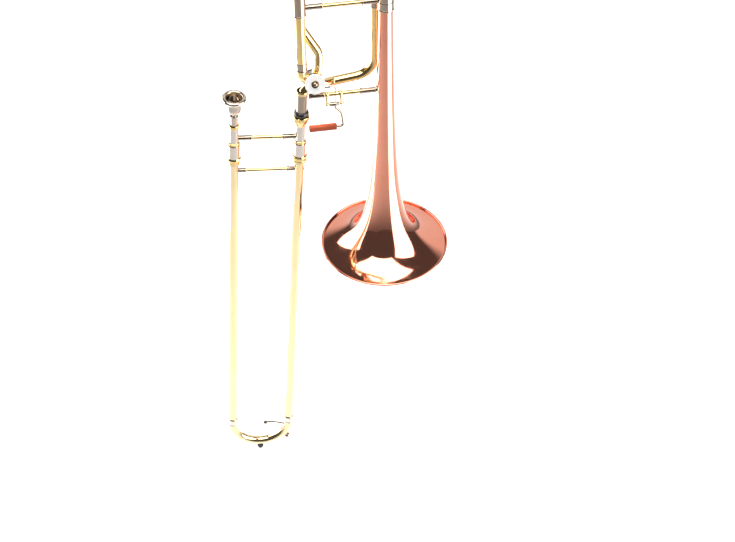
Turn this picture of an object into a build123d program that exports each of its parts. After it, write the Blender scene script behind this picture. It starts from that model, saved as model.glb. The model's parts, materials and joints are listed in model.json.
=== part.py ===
from build123d import *
from math import cos, radians, sin, sqrt
import os

# Tenor trombone with an F attachment, in millimetres.
# The origin is the middle of the bell's rim. The bell opens towards -Z and its axis is Z.
# +X runs from the neck to the bell's axis, and the hand slide hangs beyond the neck, at -X.

# Bell
BELL_RADIUS = 108.0
BELL_FLARE_START = 15.3          # sets how fast the flare closes above the rim
BELL_FLARE_POWER = 0.65
BELL_TAIL_TOP = 500.0
BELL_WALL = 0.6
RIM_ROLL_RADIUS = 1.9
RIM_WIRE_RADIUS = 1.15

# Neck side
NECK_X = -130.0                  # neck axis, also the top of the slide receiver's axis
NECK_RADIUS = 8.4
NECK_WALL = 0.6

# Main tuning slide
SLEEVE_WALL = 0.9
NECK_SLEEVE_RADIUS = 10.0
BELL_SLEEVE_RADIUS = 12.0
SLEEVE_BOTTOM = 488.0
SLEEVE_TOP = 572.0
TUNING_FIT = 0.07                # radial clearance between a sleeve and its inner leg
LEG_WALL = 0.6
BOW_START = 596.0
BOW_RADIUS = 9.6

# F attachment
F_RADIUS = 7.15
F_WALL = 0.5
F_SLEEVE_RADIUS = 8.3
F_SLEEVE_BOTTOM = 478.0
F_SLEEVE_TOP = 560.0
F_BOW_START = 618.0
F_NECK_AXIS = (NECK_X, 22.0)
F_BELL_AXIS = (-13.0, 19.5)

# Rotary valve: its axis leans up towards the front
VALVE_CENTRE = (-111.5, 5.5, 357.5)
VALVE_LEAN = 25.0
CASING_RADIUS = 15.0
CASING_BORE = 13.4
CASING_HALF = 11.0
ROTOR_FIT = 0.06
ROTOR_PASSAGE = 5.2
PLATE_THICKNESS = 2.0
DISC_RADIUS = 15.9
DISC_FACE = 22.5                 # front face of the disc above the valve's centre
DISC_THICKNESS = 1.9
STUD_RADIUS = 9.0                # the link's stud, from the rotor's axis
STUD_ANGLE = -45.0
LINK_BALL = 1.7
STOP_RADIUS = 12.0

# Braces
LOWER_BRACE_Z = 333.0
UPPER_BRACE_Z = 501.0
BRACE_RADIUS = 3.3
BRACE_SLEEVE_STEP = 0.8                 # how much fatter a brace's end sleeves are than its rod
F_BRACE_Z = 530.0
PATCH_SPAN = (318.0, 348.0)      # heights that the lower brace's patch covers on the bell
PATCH_RADIUS = 7.5

# Hand slide: it hangs from the receiver at a small angle, away from the bell
SLIDE_LEAN = 0.0657
SLIDE_TWIST = 2.0                # degrees, turns the slide's plane about its receiver
LEG_SPACING = 105.5
SLIDE_TOP = 350.0                # height of the point that distances down the slide start from
RECEIVER_TOP = 4.0
RECEIVER_END = 60.0
RECEIVER_RADIUS = 8.75
RECEIVER_RING = (43.5, 52.3)
RECEIVER_RING_RADIUS = 11.9
NUT_START = 52.6
NUT_END = 71.0
NUT_RADIUS = 13.1
NUT_GROOVES = 36
TENON_RADIUS = 7.7
SWIVEL_FIT = 0.05
INNER_RADIUS = 6.95
INNER_WALL = 0.45
STOCKING_RADIUS = 7.12
STOCKING_LENGTH = 120.0
OUTER_BORE = 7.2
OUTER_RADIUS = 7.75
INNER_END = 786.0
OUTER_TOP = 122.0
OUTER_END = 789.0
CROOK_START = 797.0
INNER_BRACE_S = 95.0
OUTER_BRACE_S = 163.0
BARREL_RADIUS = 10.25
BARREL_BORE = 9.3

# Mouthpiece
MOUTHPIECE_RIM_S = 12.4
MOUTHPIECE_RADIUS = 19.5

# F trigger
HINGE_Y = -10.0
HINGE_Z = 321.0
TRIGGER_THROW = 37.0             # degrees, turns the rotor a quarter turn
ROLLER_Y = -14.0
ROLLER_Z = 279.0
ROLLER_RADIUS = 5.5
ROLLER_SPAN = (-122.9, -79.6)
LEVER_ROD = 2.0
POSTS_X = {"left": -92.6, "right": -70.5}
HINGE_TUBE = (-89.3, -79.0)
PIN_RADIUS = 1.4
ARM_X = -82.4
LINK_X = -78.0
LINK_Y = 4.9
LINK_ROD = 1.2
LINK_SOCKET_END = -88.5

# Water key, behind the crook. Angles are round the crook from the bell-side leg.
KEY_PIVOT_ANGLE = 26.0
KEY_NIPPLE_ANGLE = 40.0
KEY_DEPTH = 12.0

os.makedirs("parts", exist_ok=True)


def keep(piece, name):
    """Labels a finished piece and writes it as one STEP file."""
    piece.part.label = name
    export_step(piece.part, f"parts/{name}.step")


def facing(start, end):
    """A plane at start whose normal points to end."""
    return Plane(origin=start, z_dir=Vector(*end) - Vector(*start))


def section_of(plane):
    """The plane through a plane's normal, with radius across and height up."""
    return Plane(origin=plane.origin, x_dir=plane.x_dir, z_dir=-plane.y_dir)


def add_tube(plane, start, end, outer, inner=0.0, mode=Mode.ADD):
    """Adds a straight tube or rod between two heights above a plane."""
    with BuildSketch(plane.offset(start)) as ring:
        Circle(outer)
        if inner:
            Circle(inner, mode=Mode.SUBTRACT)
    extrude(ring.sketch, amount=end - start, mode=mode)


def add_turned(plane, outline, mode=Mode.ADD):
    """Adds a turned shape from (radius, height) corners about a plane's normal."""
    with BuildSketch(section_of(plane)) as profile:
        with BuildLine():
            Polyline(*outline, close=True)
        make_face()
    revolve(profile.sketch, axis=Axis(plane.origin, plane.z_dir), mode=mode)


def add_bead(plane, start, end, outer, inner):
    """Adds a ring with a rounded rim between two heights above a plane."""
    shoulder = outer - min((end - start) / 2, 0.7 * (outer - inner))
    with BuildSketch(section_of(plane)) as profile:
        with BuildLine():
            Line((inner, start), (shoulder, start))
            ThreePointArc((shoulder, start), (outer, (start + end) / 2), (shoulder, end))
            Polyline((shoulder, end), (inner, end), (inner, start))
        make_face()
    revolve(profile.sketch, axis=Axis(plane.origin, plane.z_dir))


def add_ball(centre, radius, mode=Mode.ADD):
    """Adds a ball."""
    with Locations(centre):
        Sphere(radius, mode=mode)


def add_pipe(points, bends, outer, inner=0.0, mode=Mode.ADD):
    """Adds a round pipe along straight runs joined by bends of the given radii."""
    with BuildLine() as route:
        FilletPolyline(*points, radius=bends)
    with BuildSketch(facing(points[0], points[1])) as ring:
        Circle(outer)
        if inner:
            Circle(inner, mode=Mode.SUBTRACT)
    sweep(ring.sketch, path=route.wires()[0], mode=mode)


def upright(x, y):
    """A level plane through z = 0 at a given place, looking up."""
    return Plane(origin=(x, y, 0), x_dir=(1, 0, 0), z_dir=(0, 0, 1))


neck = upright(NECK_X, 0)
bell_axis = upright(0, 0)
f_neck = upright(*F_NECK_AXIS)
f_bell = upright(*F_BELL_AXIS)

# The valve's plane: X to the right, Y up and back, the normal out of the front disc.
valve_normal = Vector(0, -cos(radians(VALVE_LEAN)), sin(radians(VALVE_LEAN)))
valve = Plane(origin=VALVE_CENTRE, x_dir=(1, 0, 0), z_dir=valve_normal)

# Slide planes: X from the bell-side leg to the mouthpiece-side leg, the normal down the slide.
slide_down = Vector(-SLIDE_LEAN, 0, -1)
slide_across = Vector(-cos(radians(SLIDE_TWIST)), sin(radians(SLIDE_TWIST)), 0)
bell_leg = Plane(origin=(NECK_X, 0, SLIDE_TOP), x_dir=slide_across, z_dir=slide_down)
mouth_leg = Plane(
    origin=bell_leg.from_local_coords((LEG_SPACING, 0, 0)),
    x_dir=bell_leg.x_dir,
    z_dir=bell_leg.z_dir,
)
legs = {"bell_side": bell_leg, "mouth_side": mouth_leg}


# ---------------------------------------------------------------- bell

def bell_radius(height):
    """Outer radius of the bell at a height above its rim."""
    return BELL_RADIUS * (BELL_FLARE_START / (height + BELL_FLARE_START)) ** BELL_FLARE_POWER


def bell_inside(height):
    """The point inside the bell's sheet, one wall in from its outer side at a height."""
    slope = -BELL_FLARE_POWER * bell_radius(height) / (height + BELL_FLARE_START)
    step = BELL_WALL / sqrt(1 + slope ** 2)
    return (bell_radius(height) - step, height + slope * step)


flare_start = 0.62
flare_steps = 16
growth = ((BELL_TAIL_TOP + BELL_FLARE_START) / (flare_start + BELL_FLARE_START)) ** (1 / flare_steps)
flare_heights = [
    (flare_start + BELL_FLARE_START) * growth ** step - BELL_FLARE_START
    for step in range(flare_steps + 1)
]
roll_centre = (BELL_RADIUS - RIM_ROLL_RADIUS, RIM_ROLL_RADIUS)

with BuildPart() as bell:
    with BuildSketch(Plane.XZ) as bell_profile:
        with BuildLine():
            outside = Spline(*[(bell_radius(z), z) for z in flare_heights])
            inside = Spline(*[bell_inside(z) for z in flare_heights])
            Line(outside @ 0, inside @ 0)
            Line(outside @ 1, inside @ 1)
        make_face()
        with Locations(roll_centre):
            Circle(RIM_ROLL_RADIUS)
            Circle(RIM_WIRE_RADIUS + 0.05, mode=Mode.SUBTRACT)
        with Locations((roll_centre[0] - 0.7, roll_centre[1] + 1.55)):
            Rectangle(0.5, 1.4, rotation=25, mode=Mode.SUBTRACT)
    revolve(axis=Axis.Z)
keep(bell, "bell")

with BuildPart() as bell_rim_wire:
    with BuildSketch(Plane.XZ):
        with Locations(roll_centre):
            Circle(RIM_WIRE_RADIUS)
    revolve(axis=Axis.Z)
keep(bell_rim_wire, "bell_rim_wire")

bell_sleeve_low = SLEEVE_BOTTOM - 4

with BuildPart() as bell_ferrule:
    add_bead(bell_axis, bell_sleeve_low, bell_sleeve_low + 4, BELL_SLEEVE_RADIUS + 0.9, bell_radius(484) + 0.1)
    add_tube(bell_axis, bell_sleeve_low + 4, BELL_TAIL_TOP, BELL_SLEEVE_RADIUS + 0.5, bell_radius(486) + 0.02)
keep(bell_ferrule, "bell_ferrule")


# ---------------------------------------------------------------- main tuning slide and its sleeves

def sleeve_bore(radius):
    """Bore of a tuning sleeve of a given outer radius."""
    return radius - SLEEVE_WALL


def add_sleeve(axis, low, high, radius):
    """Adds a tuning sleeve with a rounded collar at its open top."""
    add_tube(axis, low, high, radius, sleeve_bore(radius))
    add_bead(axis, high - 4, high, radius + 1.3, radius - 0.1)


with BuildPart() as tuning_sleeves:
    add_sleeve(neck, SLEEVE_BOTTOM, SLEEVE_TOP, NECK_SLEEVE_RADIUS)
    add_bead(neck, SLEEVE_BOTTOM, SLEEVE_BOTTOM + 3, NECK_SLEEVE_RADIUS + 0.5, NECK_RADIUS + 0.02)
    add_sleeve(bell_axis, BELL_TAIL_TOP, SLEEVE_TOP, BELL_SLEEVE_RADIUS)
keep(tuning_sleeves, "tuning_sleeves")

bow_middle_x = NECK_X / 2
bow_bend = abs(NECK_X) / 2
bow_top = BOW_START + bow_bend
leg_axes = {"neck": (neck, NECK_SLEEVE_RADIUS), "bell": (bell_axis, BELL_SLEEVE_RADIUS)}

with BuildPart() as tuning_legs:
    for axis, radius in leg_axes.values():
        leg_radius = sleeve_bore(radius) - TUNING_FIT
        add_tube(axis, SLEEVE_BOTTOM + 16, BOW_START - 14, leg_radius, leg_radius - LEG_WALL)
keep(tuning_legs, "tuning_slide_legs")

with BuildPart() as tuning_ferrules:
    for axis, radius in leg_axes.values():
        add_tube(axis, BOW_START - 14, BOW_START, BOW_RADIUS + 0.8, BOW_RADIUS + 0.02)
        add_tube(axis, SLEEVE_TOP + 1, BOW_START - 14, radius + 0.4, sleeve_bore(radius) - TUNING_FIT + 0.01)
        add_bead(axis, BOW_START - 3, BOW_START, BOW_RADIUS + 1.5, BOW_RADIUS + 0.5)
        add_bead(axis, SLEEVE_TOP + 1, SLEEVE_TOP + 4, radius + 1.2, radius)
keep(tuning_ferrules, "tuning_slide_ferrules")

bow_foot = BOW_START - 13.5
bow_route = [
    (NECK_X, 0, bow_foot),
    (NECK_X, 0, bow_top),
    (0, 0, bow_top),
    (0, 0, bow_foot),
]

with BuildPart() as tuning_bow:
    add_pipe(bow_route, bow_bend - 0.01, BOW_RADIUS, BOW_RADIUS - LEG_WALL)
keep(tuning_bow, "tuning_slide_bow")


def add_brace(start, end, clear_start, clear_end, radius):
    """Adds a brace between two tube axes: a rod with end sleeves and beads."""
    plane = facing(start, end)
    span = (Vector(*end) - Vector(*start)).length
    first = clear_start
    last = span - clear_end
    sleeve = (last - first) * 0.22
    fat = radius + BRACE_SLEEVE_STEP
    add_tube(plane, first + sleeve, last - sleeve, radius)
    add_tube(plane, first, first + sleeve, fat)
    add_tube(plane, last - sleeve, last, fat)
    for middle in (first + sleeve, last - sleeve):
        add_bead(plane, middle - 1.2, middle + 1.2, fat + 0.7, radius - 0.1)


with BuildPart() as bow_brace:
    brace_rise = 30
    brace_z = BOW_START + brace_rise
    lean = sqrt(bow_bend ** 2 - brace_rise ** 2)
    add_brace(
        (bow_middle_x - lean, 0, brace_z),
        (bow_middle_x + lean, 0, brace_z),
        BOW_RADIUS,
        BOW_RADIUS,
        2.6,
    )
    for axis_x, side in ((bow_middle_x - lean, 1), (bow_middle_x + lean, -1)):
        with Locations((axis_x + side * (BOW_RADIUS + 0.6), 0, brace_z)):
            Sphere(4.6)
    add_pipe(bow_route, bow_bend - 0.01, BOW_RADIUS + 0.01, mode=Mode.SUBTRACT)
keep(bow_brace, "tuning_slide_brace")


# ---------------------------------------------------------------- neck and rotary valve

neck_bend_z = VALVE_CENTRE[2] + 17.0
receiver_bend_z = VALVE_CENTRE[2] - 17.0
neckpipe_low = 397.0
ferrule_foot = 386.0

with BuildPart() as neckpipe:
    add_tube(neck, neckpipe_low, SLEEVE_BOTTOM + 12, NECK_RADIUS, NECK_RADIUS - NECK_WALL)
keep(neckpipe, "neckpipe")

with BuildPart() as neck_ferrule:
    add_tube(neck, ferrule_foot, neckpipe_low, NECK_RADIUS + 0.2, NECK_RADIUS - NECK_WALL)
    add_tube(neck, neckpipe_low, neckpipe_low + 4, NECK_RADIUS + 0.5, NECK_RADIUS + 0.02)
    add_bead(neck, ferrule_foot, ferrule_foot + 3, NECK_RADIUS + 0.9, NECK_RADIUS)
keep(neck_ferrule, "neck_ferrule")


def add_knuckle(points, bends, outer, inner):
    """Adds a curved port tube that ends on the valve's casing."""
    add_pipe(points, bends, outer, inner)
    add_tube(valve, -CASING_HALF - 12, CASING_HALF + 12, CASING_RADIUS + 0.02, mode=Mode.SUBTRACT)


with BuildPart() as neck_knuckle:
    add_knuckle(
        [(NECK_X, 0, ferrule_foot), (NECK_X, 0, neck_bend_z), VALVE_CENTRE],
        [15.0],
        NECK_RADIUS,
        NECK_RADIUS - NECK_WALL,
    )
keep(neck_knuckle, "neck_knuckle")

with BuildPart() as receiver_knuckle:
    add_knuckle(
        [(NECK_X, 0, 330), (NECK_X, 0, receiver_bend_z), VALVE_CENTRE],
        [9.0],
        RECEIVER_RADIUS - 1.0,
        RECEIVER_RADIUS - 1.8,
    )
    add_tube(bell_leg, RECEIVER_TOP, 40.0, 15.0, mode=Mode.SUBTRACT)
keep(receiver_knuckle, "receiver_knuckle")

# Ports of the F loop: one leaves low to the right, one leaves high to the right.
f_low_port = (-95.0, 9.3, 348.5)
f_high_port = (-103.0, 10.5, 379.0)
f_low_route = [
    VALVE_CENTRE,
    f_low_port,
    (-80.0, F_BELL_AXIS[1], 343.2),
    (F_BELL_AXIS[0], F_BELL_AXIS[1], 352.6),
    (F_BELL_AXIS[0], F_BELL_AXIS[1], F_SLEEVE_BOTTOM + 10),
]
f_high_route = [
    VALVE_CENTRE,
    f_high_port,
    (-101.5, 14.0, 405.0),
    (F_NECK_AXIS[0], F_NECK_AXIS[1], 455.0),
    (F_NECK_AXIS[0], F_NECK_AXIS[1], F_SLEEVE_BOTTOM + 10),
]
f_bore = F_RADIUS - F_WALL

with BuildPart() as f_low_tube:
    add_knuckle(f_low_route, [14.0, 10.0, 34.0], F_RADIUS, f_bore)
    add_tube(valve, -CASING_HALF - 8, -CASING_HALF, CASING_RADIUS + 0.8, mode=Mode.SUBTRACT)
keep(f_low_tube, "f_low_tube")

with BuildPart() as f_high_tube:
    add_knuckle(f_high_route, [9.0, 24.0, 30.0], F_RADIUS, f_bore)
keep(f_high_tube, "f_high_tube")

casing_front = CASING_HALF
casing_back = -CASING_HALF
plate_top = casing_front + PLATE_THICKNESS

with BuildPart() as valve_casing:
    add_tube(valve, casing_back - 3.2, casing_front, CASING_RADIUS, CASING_BORE)
    add_tube(valve, casing_back, casing_back + PLATE_THICKNESS, CASING_BORE + 0.3, 4.0)
    for corner, bore in (
        ((NECK_X, 0, neck_bend_z), NECK_RADIUS - NECK_WALL),
        ((NECK_X, 0, receiver_bend_z), RECEIVER_RADIUS - 1.8),
        (f_low_port, f_bore),
        (f_high_port, f_bore),
    ):
        port = facing(VALVE_CENTRE, corner)
        add_tube(port, 8, 30, bore - 0.6, mode=Mode.SUBTRACT)
keep(valve_casing, "valve_casing")

with BuildPart() as valve_plate:
    add_tube(valve, casing_front, plate_top, CASING_RADIUS - 0.4, 4.0)
    with BuildSketch(valve.offset(plate_top)) as crescent:
        Circle(STOP_RADIUS + 1.8)
        Circle(STOP_RADIUS - 1.6, mode=Mode.SUBTRACT)
        with Locations((10, 0)):
            Rectangle(30, 30, mode=Mode.SUBTRACT)
    extrude(amount=0.8)
keep(valve_plate, "valve_bearing_plate")

rotor_radius = CASING_BORE - ROTOR_FIT
rotor_low = casing_back + PLATE_THICKNESS + 0.1
rotor_high = casing_front - 0.1
spindle_radius = 4.0 - ROTOR_FIT
stem_radius = 2.5
disc_low = DISC_FACE - DISC_THICKNESS
passage_middle = 17.0            # degrees, the way that the F-loop passage's back faces

with BuildPart() as rotor:
    add_tube(valve, rotor_low, rotor_high, rotor_radius)
    add_tube(valve, casing_back - 2, rotor_low, spindle_radius)
    add_tube(valve, rotor_high, plate_top + 0.5, spindle_radius)
    add_tube(valve, plate_top + 0.5, DISC_FACE - 0.6, stem_radius)
    for side in (0, 180):
        turn = radians(passage_middle + side)
        reach = rotor_radius * sqrt(2)
        centre = valve.from_local_coords((reach * cos(turn), reach * sin(turn), 0))
        with Locations(Plane(origin=centre, x_dir=valve.x_dir, z_dir=valve.z_dir)):
            Torus(rotor_radius, ROTOR_PASSAGE, mode=Mode.SUBTRACT)
keep(rotor, "rotor")


def valve_post(radius, angle):
    """A plane beside the valve's axis, for pins that stand along it."""
    place = (radius * cos(radians(angle)), radius * sin(radians(angle)), 0)
    return Plane(origin=valve.from_local_coords(place), x_dir=valve.x_dir, z_dir=valve.z_dir)


stud_plane = valve_post(STUD_RADIUS, STUD_ANGLE)
link_level = disc_low - 3.8

with BuildPart() as rotor_disc:
    add_bead(valve, disc_low, DISC_FACE, DISC_RADIUS, stem_radius + 0.02)
    add_tube(stud_plane, link_level, disc_low + 0.2, 1.0)
    add_ball(stud_plane.from_local_coords((0, 0, link_level)), LINK_BALL)
    add_tube(valve_post(STOP_RADIUS, 135), plate_top + 1.2, disc_low + 0.2, 1.2)
keep(rotor_disc, "rotor_disc")

with BuildPart() as rotor_screw:
    add_bead(valve, DISC_FACE, DISC_FACE + 1.4, 6.0, 0.0)
    with Locations(Plane(origin=valve.from_local_coords((0, 0, DISC_FACE - 0.6)), z_dir=valve.z_dir)):
        Sphere(4.6)
    add_tube(valve, DISC_FACE - 10, DISC_FACE, 12.0, mode=Mode.SUBTRACT)
keep(rotor_screw, "rotor_screw")

cap_low = casing_back - 6.2
with BuildPart() as valve_cap:
    add_turned(
        valve,
        [
            (0, cap_low),
            (9.5, cap_low),
            (13.0, cap_low + 0.8),
            (CASING_RADIUS + 0.7, cap_low + 1.8),
            (CASING_RADIUS + 0.7, cap_low + 5.2),
            (CASING_RADIUS + 0.03, cap_low + 5.2),
            (CASING_RADIUS + 0.03, cap_low + 2.9),
            (0, cap_low + 2.9),
        ],
    )
    rim = Plane(origin=valve.from_local_coords((0, 0, cap_low + 2.0)), x_dir=valve.x_dir, z_dir=valve.z_dir)
    with BuildSketch(rim) as knurl:
        with PolarLocations(CASING_RADIUS + 1.2, 40):
            Circle(0.8)
    extrude(knurl.sketch, amount=2.6, mode=Mode.SUBTRACT)
keep(valve_cap, "valve_cap")

# Cork stops on the bearing plate, which the disc's stud turns between.
with BuildPart() as stop_corks:
    for angle in (120, -120):
        add_tube(valve_post(STOP_RADIUS, angle), plate_top + 0.8, plate_top + 3.2, 1.7)
keep(stop_corks, "stop_corks")


# ---------------------------------------------------------------- F loop

f_bow_bend = (Vector(*F_BELL_AXIS) - Vector(*F_NECK_AXIS)).length / 2
f_bow_top = F_BOW_START + f_bow_bend
f_bow_foot = F_BOW_START - 40
f_axes = (f_neck, f_bell)
f_sleeve_bore = F_SLEEVE_RADIUS - 0.6
f_leg_radius = f_sleeve_bore - TUNING_FIT
f_leg_top = F_BOW_START - 44
f_ferrule_top = F_BOW_START - 30

with BuildPart() as f_sleeves:
    for axis in f_axes:
        add_tube(axis, F_SLEEVE_BOTTOM, F_SLEEVE_TOP, F_SLEEVE_RADIUS, f_sleeve_bore)
        add_bead(axis, F_SLEEVE_BOTTOM, F_SLEEVE_BOTTOM + 3, F_SLEEVE_RADIUS + 0.5, F_RADIUS + 0.02)
        add_bead(axis, F_SLEEVE_TOP - 4, F_SLEEVE_TOP, F_SLEEVE_RADIUS + 1.1, F_SLEEVE_RADIUS - 0.1)
keep(f_sleeves, "f_sleeves")

with BuildPart() as f_legs:
    for axis in f_axes:
        add_tube(axis, F_SLEEVE_BOTTOM + 14, f_leg_top, f_leg_radius, f_leg_radius - F_WALL)
        add_tube(axis, F_SLEEVE_TOP + 1, f_leg_top, F_SLEEVE_RADIUS + 0.3, f_leg_radius - 0.1)
        add_tube(axis, f_leg_top, f_ferrule_top, F_SLEEVE_RADIUS + 0.3, F_RADIUS + 0.02)
        add_bead(axis, F_SLEEVE_TOP + 1, F_SLEEVE_TOP + 4, F_SLEEVE_RADIUS + 1.0, F_SLEEVE_RADIUS)
        add_bead(axis, f_ferrule_top - 3, f_ferrule_top, F_SLEEVE_RADIUS + 1.0, F_SLEEVE_RADIUS)
keep(f_legs, "f_slide_legs")

with BuildPart() as f_bow:
    add_pipe(
        [
            (*F_NECK_AXIS, f_bow_foot),
            (*F_NECK_AXIS, f_bow_top),
            (*F_BELL_AXIS, f_bow_top),
            (*F_BELL_AXIS, f_bow_foot),
        ],
        f_bow_bend - 0.01,
        F_RADIUS,
        f_bore,
    )
keep(f_bow, "f_slide_bow")


# ---------------------------------------------------------------- bell section braces

lower_start = (NECK_X, 0, LOWER_BRACE_Z)
lower_end = (0, 0, LOWER_BRACE_Z)

with BuildPart() as lower_brace:
    add_brace(lower_start, lower_end, RECEIVER_RADIUS + 0.6, bell_radius(LOWER_BRACE_Z) + 1.3, BRACE_RADIUS)
keep(lower_brace, "lower_bell_brace")

patch_low, patch_high = PATCH_SPAN
low_skin = bell_radius(patch_low)
high_skin = bell_radius(patch_high)
patch_wall = 0.82

with BuildPart() as lower_patch:
    with BuildSketch(Plane(origin=(0, 0, LOWER_BRACE_Z), x_dir=(0, 1, 0), z_dir=(-1, 0, 0))) as patch_face:
        Circle(PATCH_RADIUS)
    extrude(patch_face.sketch, amount=24)
    with BuildSketch(Plane.XZ) as patch_skin:
        with BuildLine():
            inner_line = Line((low_skin + 0.03, patch_low), (high_skin + 0.03, patch_high))
            Polyline(
                inner_line @ 1,
                (high_skin + 0.03 + patch_wall, patch_high),
                (low_skin + 0.03 + patch_wall, patch_low),
                inner_line @ 0,
            )
        make_face()
    revolve(patch_skin.sketch, axis=Axis.Z, mode=Mode.INTERSECT)
keep(lower_patch, "bell_brace_patch")

upper_start = (NECK_X, 0, UPPER_BRACE_Z)
upper_end = (0, 0, UPPER_BRACE_Z)
with BuildPart() as upper_brace:
    add_brace(upper_start, upper_end, NECK_SLEEVE_RADIUS - 0.5, BELL_SLEEVE_RADIUS - 0.5, BRACE_RADIUS)
    add_tube(neck, UPPER_BRACE_Z - 8, UPPER_BRACE_Z + 8, NECK_SLEEVE_RADIUS + 0.01, mode=Mode.SUBTRACT)
    add_tube(bell_axis, UPPER_BRACE_Z - 8, UPPER_BRACE_Z + 8, BELL_SLEEVE_RADIUS + 0.51, mode=Mode.SUBTRACT)
keep(upper_brace, "upper_bell_brace")

with BuildPart() as f_braces:
    clear_low = F_BRACE_Z - 10
    clear_high = F_BRACE_Z + 10
    add_tube(facing((NECK_X, 0, F_BRACE_Z), (*F_NECK_AXIS, F_BRACE_Z)), 5, 18, 3.0)
    add_tube(facing((0, 0, F_BRACE_Z), (*F_BELL_AXIS, F_BRACE_Z)), 5, 18, 3.0)
    add_tube(neck, clear_low, clear_high, NECK_SLEEVE_RADIUS + 0.01, mode=Mode.SUBTRACT)
    add_tube(bell_axis, clear_low, clear_high, BELL_SLEEVE_RADIUS + 0.01, mode=Mode.SUBTRACT)
    for axis in f_axes:
        add_tube(axis, clear_low, clear_high, F_SLEEVE_RADIUS + 0.01, mode=Mode.SUBTRACT)
keep(f_braces, "f_braces")


# ---------------------------------------------------------------- slide receiver and lock nut

with BuildPart() as slide_receiver:
    add_tube(bell_leg, RECEIVER_TOP, RECEIVER_END, RECEIVER_RADIUS, TENON_RADIUS + SWIVEL_FIT)
keep(slide_receiver, "slide_receiver")

with BuildPart() as receiver_collar:
    add_bead(bell_leg, RECEIVER_TOP, RECEIVER_TOP + 3.5, RECEIVER_RADIUS + 0.9, RECEIVER_RADIUS + 0.02)
    add_tube(bell_leg, RECEIVER_TOP + 3.5, RECEIVER_TOP + 6, RECEIVER_RADIUS + 0.4, RECEIVER_RADIUS + 0.02)
    add_tube(valve, -CASING_HALF - 12, CASING_HALF + 12, CASING_RADIUS + 0.02, mode=Mode.SUBTRACT)
keep(receiver_collar, "receiver_collar")

with BuildPart() as receiver_ring:
    add_bead(bell_leg, *RECEIVER_RING, RECEIVER_RING_RADIUS, RECEIVER_RADIUS + 0.02)
keep(receiver_ring, "receiver_ring")

with BuildPart() as lock_nut:
    nut_bore = RECEIVER_RADIUS + 0.08
    nut_neck = TENON_RADIUS + 0.08
    add_turned(
        bell_leg,
        [
            (nut_bore, NUT_START),
            (NUT_RADIUS - 0.9, NUT_START),
            (NUT_RADIUS, NUT_START + 1.0),
            (NUT_RADIUS, NUT_START + 5.9),
            (NUT_RADIUS - 0.7, NUT_END - 9.5),
            (NUT_RADIUS - 2.3, NUT_END - 5.5),
            (NUT_RADIUS - 3.9, NUT_END - 1.5),
            (NUT_RADIUS - 4.5, NUT_END),
            (nut_neck, NUT_END),
            (nut_neck, RECEIVER_END + 0.5),
            (nut_bore, RECEIVER_END + 0.5),
        ],
    )
    with BuildSketch(bell_leg.offset(NUT_START + 0.4)) as grooves:
        with PolarLocations(NUT_RADIUS + 0.4, NUT_GROOVES):
            Circle(0.75)
    extrude(grooves.sketch, amount=6.0, mode=Mode.SUBTRACT)
keep(lock_nut, "lock_nut")


# ---------------------------------------------------------------- inner slide

tenon_top = 14.0
mouth_sleeve_top = 74.0
sleeve_end = 102.0

with BuildPart() as top_sleeves:
    add_tube(bell_leg, tenon_top, sleeve_end, TENON_RADIUS, INNER_RADIUS + 0.02)
    add_tube(mouth_leg, mouth_sleeve_top, sleeve_end, TENON_RADIUS + 0.1, INNER_RADIUS + 0.02)
keep(top_sleeves, "inner_slide_sleeves")

shank_top = MOUTHPIECE_RIM_S + 38.6
shank_end = 94.0
shank_top_radius = 6.6
shank_end_radius = 6.1
receiver_low = 96.0

with BuildPart() as mouth_receiver:
    clear = 0.05
    add_turned(
        mouth_leg,
        [
            (shank_top_radius - 0.15 + clear, 67.5),
            (8.2, 67.5),
            (8.5, 68.2),
            (8.5, 73.4),
            (8.2, mouth_sleeve_top),
            (INNER_RADIUS, mouth_sleeve_top),
            (INNER_RADIUS, receiver_low),
            (shank_end_radius + clear, receiver_low),
            (shank_end_radius + clear, shank_end),
        ],
    )
keep(mouth_receiver, "mouthpiece_receiver")

tube_tops = {"bell_side": 84.0, "mouth_side": receiver_low}
for side, leg in legs.items():
    with BuildPart() as inner_tube:
        bore = INNER_RADIUS - INNER_WALL
        stocking_top = INNER_END - STOCKING_LENGTH
        add_tube(leg, tube_tops[side], stocking_top, INNER_RADIUS, bore)
        add_tube(leg, stocking_top, INNER_END, STOCKING_RADIUS, bore)
    keep(inner_tube, f"{side}_inner_tube")

with BuildPart() as leadpipe:
    add_tube(mouth_leg, receiver_low, 290, INNER_RADIUS - INNER_WALL - 0.02, 6.1)
keep(leadpipe, "leadpipe")

barrel_top = 107.5
barrel_end = 137.0
with BuildPart() as barrels:
    for leg in legs.values():
        add_tube(leg, barrel_top, barrel_end, BARREL_RADIUS, BARREL_BORE)
        add_tube(leg, barrel_top, barrel_top + 2, BARREL_BORE + 0.2, INNER_RADIUS + 0.02)
keep(barrels, "cork_barrels")

with BuildPart() as corks:
    for leg in legs.values():
        add_tube(leg, barrel_top + 2, OUTER_TOP - 0.5, BARREL_BORE - 0.3, INNER_RADIUS + 0.1)
keep(corks, "slide_corks")

ring_start = 133.0
ring_end = 146.0
lip_start = 143.4
lip_bore = 9.0
with BuildPart() as barrel_rings:
    for leg in legs.values():
        add_bead(leg, sleeve_end + 0.1, 105.4, 9.6, INNER_RADIUS + 0.02)
        add_tube(leg, 105.4, barrel_top, 9.1, INNER_RADIUS + 0.02)
    add_bead(mouth_leg, ring_start, ring_start + 5.5, 11.8, BARREL_RADIUS + 0.02)
    add_tube(mouth_leg, ring_start + 5.5, ring_end, 10.4, lip_bore)
    add_tube(mouth_leg, ring_start, barrel_end, BARREL_RADIUS + 0.02, mode=Mode.SUBTRACT)
keep(barrel_rings, "barrel_rings")

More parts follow.
